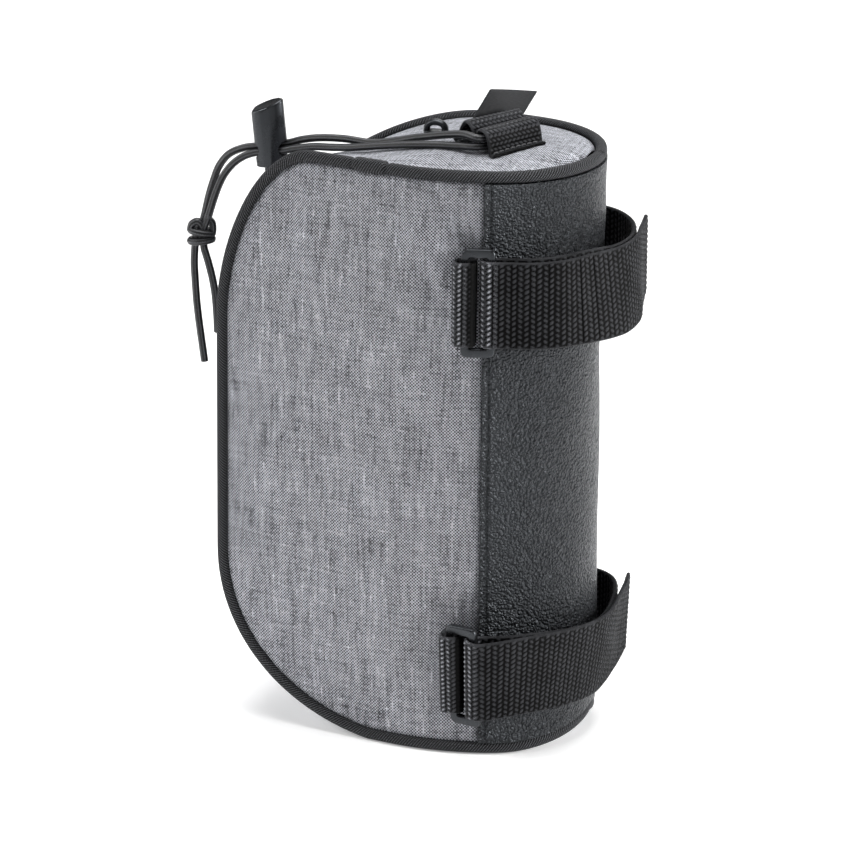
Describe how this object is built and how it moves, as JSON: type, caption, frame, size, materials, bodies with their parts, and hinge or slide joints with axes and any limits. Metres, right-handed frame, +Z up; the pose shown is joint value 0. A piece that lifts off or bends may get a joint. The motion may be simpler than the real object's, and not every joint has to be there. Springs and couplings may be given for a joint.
{
  "type": "scooter bag",
  "caption": "Soft upright pouch with a round back, bound edges and a zipped gusset, hung from a scooter's stem by straps and rings, with an elastic cord and lock on top.",
  "frame": {"origin": "on the floor, under the middle of the bag's box without its free cord and cord lock", "axes": "+Z up, the zip faces -Y, the strapped back faces +Y, the rings are on the +X side"},
  "size_m": [0.1136, 0.2, 0.2814],
  "materials": {
    "cloth_grey": "grey melange woven cloth, matt",
    "leatherette_black": "black grained leatherette, satin",
    "binding_black": "black twill binding, matt",
    "webbing_black": "black woven webbing, matt",
    "zip_black": "black nylon coil and tape",
    "plastic_black": "black moulded plastic, satin",
    "elastic_black": "black braided elastic",
    "label_black": "black woven label, bare"
  },
  "bodies": {
    "root": {"side_panel_near": "cloth_grey", "side_panel_far": "cloth_grey", "back_panel": "leatherette_black", "gusset": "cloth_grey", "piping": "binding_black", "zip_tape": "zip_black", "zip_coil": "zip_black", "zip_slider": "plastic_black", "strap_upper": "webbing_black", "ring_upper": "plastic_black", "ring_tab_upper": "webbing_black", "strap_lower": "webbing_black", "ring_lower": "plastic_black", "ring_tab_lower": "webbing_black", "cord_keeper": "webbing_black", "label_tab": "label_black", "cord_lock_barrel": "plastic_black", "cord_lock_plunger": "plastic_black", "cord_near": "elastic_black", "cord_far": "elastic_black", "cord_tail_front": "elastic_black", "cord_tail_side": "elastic_black", "cord_knot": "elastic_black"}
  },
  "joints": []
}
